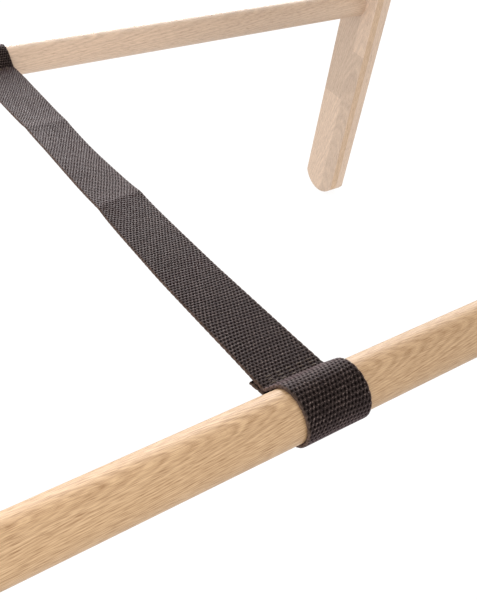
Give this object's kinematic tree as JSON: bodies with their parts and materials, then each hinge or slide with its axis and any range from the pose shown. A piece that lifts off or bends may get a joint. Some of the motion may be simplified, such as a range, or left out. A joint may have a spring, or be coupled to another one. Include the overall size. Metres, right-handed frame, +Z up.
{
  "type": "folding luggage rack",
  "caption": "Oak luggage rack with a webbing-strapped top frame on two hinged leg frames that splay out, held by a tie strap between round stretchers, and fold flat.",
  "frame": {"origin": "on the floor under the middle of the rack", "axes": "+X along the rails, +Y from the near leg frame to the far one, +Z up"},
  "size_m": [0.8016, 0.5068, 0.456],
  "materials": {
    "oak": "matt clear oil on light oak",
    "webbing": "dark brown-black plain-woven webbing",
    "steel": "zinc plated, satin",
    "nylon": "natural nylon"
  },
  "bodies": {
    "top_frame": {"end_bar_left": "oak", "end_bar_right": "oak", "top_rail_near": "oak", "top_rail_far": "oak", "rail_pegs": "oak", "luggage_strap_1": "webbing", "luggage_strap_2": "webbing", "luggage_strap_3": "webbing", "luggage_strap_4": "webbing", "pivot_spacer_left": "oak", "pivot_spacer_right": "oak", "pivot_bolt_near_left": "steel", "pivot_bolt_near_right": "steel", "pivot_bolt_far_left": "steel", "pivot_bolt_far_right": "steel", "cap_nut_near_left": "steel", "cap_nut_near_right": "steel", "cap_nut_far_left": "steel", "cap_nut_far_right": "steel", "washer_near_left": "nylon", "washer_near_right": "nylon", "washer_far_left": "nylon", "washer_far_right": "nylon"},
    "near_leg_frame": {"leg_near_left": "oak", "leg_near_right": "oak", "stretcher_near": "oak", "stretcher_pegs_near": "oak", "tie_strap_near": "webbing"},
    "far_leg_frame": {"leg_far_left": "oak", "leg_far_right": "oak", "stretcher_far": "oak", "stretcher_pegs_far": "oak", "tie_strap_far": "webbing"}
  },
  "joints": [
    {"name": "near_fold", "type": "hinge", "parent": "top_frame", "child": "near_leg_frame", "pos_m": [0, -0.17194, 0.39], "axis": [1, 0, 0], "range_deg": [0, 99], "deforming": ["tie_strap_near"]},
    {"name": "far_fold", "type": "hinge", "parent": "top_frame", "child": "far_leg_frame", "pos_m": [0, 0.17194, 0.39], "axis": [-1, 0, 0], "range_deg": [0, 88], "deforming": ["tie_strap_far"]}
  ]
}
